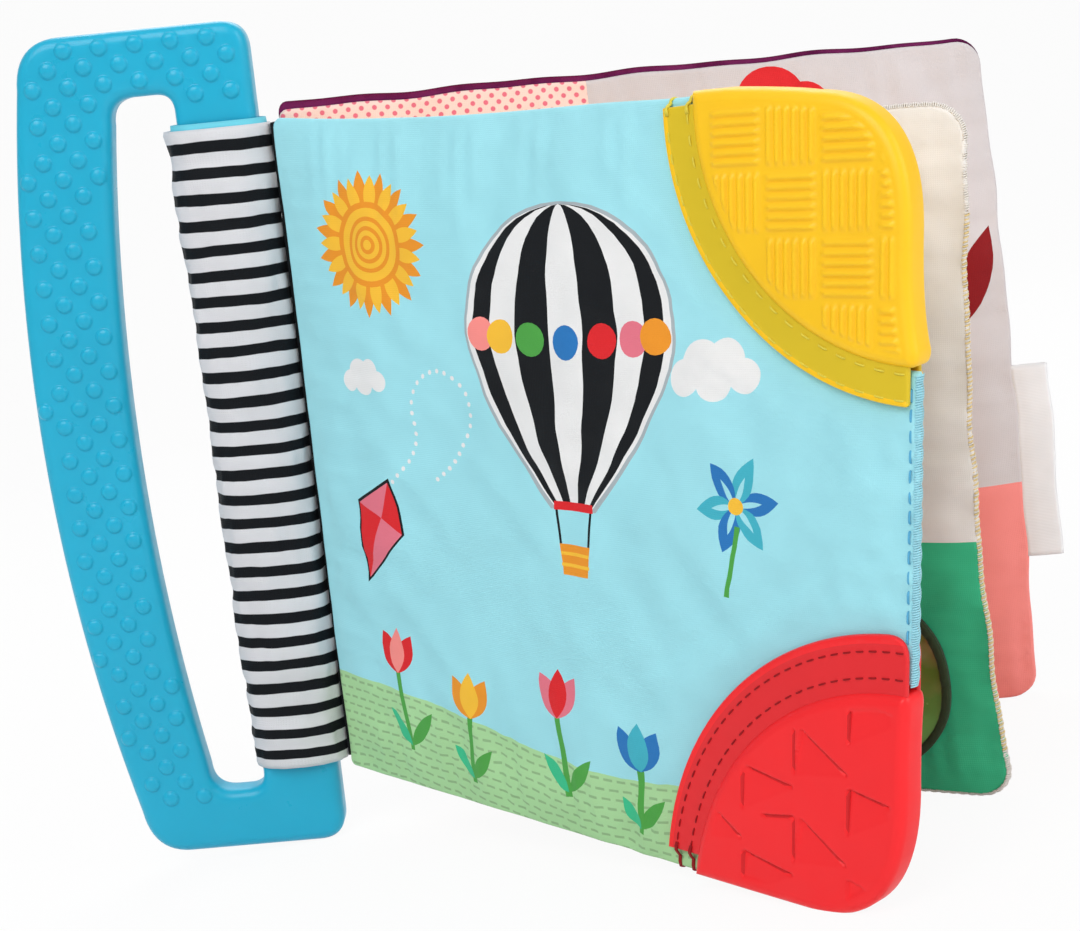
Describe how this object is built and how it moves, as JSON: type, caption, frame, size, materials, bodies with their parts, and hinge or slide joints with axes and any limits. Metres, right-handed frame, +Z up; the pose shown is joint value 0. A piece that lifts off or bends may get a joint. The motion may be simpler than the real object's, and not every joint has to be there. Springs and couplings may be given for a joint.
{
  "type": "soft teether book",
  "caption": "Padded cloth book with hinged leaves, a striped spine sleeve round a D-shaped silicone teething handle, and silicone corner teethers.",
  "frame": {"origin": "on the ground, under the middle of the open book's bounding box", "axes": "+X away from the handle along the handle's plane, -Y the side that the front cover opens to, +Z up; the spine leans off +Z because the book stands on its corners"},
  "size_m": [0.2354, 0.1312, 0.1986],
  "materials": {
    "sleeve_cloth": "woven cotton, black and white stripes",
    "sky_cloth": "woven polyester, printed",
    "black_tape": "woven tape",
    "blue_silicone": "glossy moulded silicone",
    "padding_fill": "soft fibre fill",
    "crinkle_film": "thin clear film",
    "sun_cloth": "woven polyester, printed",
    "yellow_silicone": "satin moulded silicone",
    "red_silicone": "satin moulded silicone",
    "yellow_thread": "sewing thread",
    "red_thread": "sewing thread",
    "blue_thread": "overlock thread",
    "cream_cloth": "woven polyester, printed",
    "mirror_face": "baby-safe mirror film",
    "rim_cloth": "woven piping",
    "orange_thread": "overlock thread",
    "white_cloth": "woven polyester, printed",
    "purple_cloth": "woven polyester",
    "label_tape": "satin ribbon, left blank"
  },
  "bodies": {
    "spine": {"spine_sleeve": "sleeve_cloth", "sleeve_lining": "sky_cloth", "gutter_tape": "black_tape", "spine_binding": "black_tape"},
    "handle": {"teether_handle": "blue_silicone"},
    "front_cover": {"front_outer_panel": "sky_cloth", "front_padding": "padding_fill", "front_crinkle_film": "crinkle_film", "front_inner_panel": "sun_cloth", "yellow_corner_teether": "yellow_silicone", "red_corner_teether": "red_silicone", "yellow_outer_stitch_row": "yellow_thread", "yellow_inner_stitch_row": "yellow_thread", "red_outer_stitch_row": "red_thread", "red_inner_stitch_row": "red_thread", "front_edge_stitching": "blue_thread"},
    "page": {"page_front_panel": "cream_cloth", "page_padding": "padding_fill", "page_crinkle_film": "crinkle_film", "page_back_panel": "sun_cloth", "mirror_film": "mirror_face", "mirror_rim": "rim_cloth", "page_edge_stitching": "orange_thread"},
    "back_cover": {"back_inner_panel": "white_cloth", "back_padding": "padding_fill", "back_crinkle_film": "crinkle_film", "back_outer_panel": "purple_cloth", "loop_label": "label_tape"}
  },
  "joints": [
    {"name": "front_cover_hinge", "type": "hinge", "parent": "spine", "child": "front_cover", "pos_m": [-0.06098, 0.05145, 0.01716], "axis": [-0.1192, 0.0623, -0.9909], "range_deg": [-25, 100]},
    {"name": "page_hinge", "type": "hinge", "parent": "spine", "child": "page", "pos_m": [-0.05758, 0.05574, 0.02025], "axis": [-0.1192, 0.0623, -0.9909], "range_deg": [-17.6, 70.1]},
    {"name": "back_cover_hinge", "type": "hinge", "parent": "spine", "child": "back_cover", "pos_m": [-0.06076, 0.06035, 0.01901], "axis": [0.1192, -0.0623, 0.9909], "range_deg": [0, 123]},
    {"name": "handle_turn", "type": "hinge", "parent": "spine", "child": "handle", "pos_m": [-0.06579, 0.05113, 0.09568], "axis": [0.1192, -0.0623, 0.9909], "range_deg": [-4, 4]}
  ],
  "couplings": [
    {"joint": "page_hinge", "follows": "front_cover_hinge", "ratio": 0.7}
  ]
}
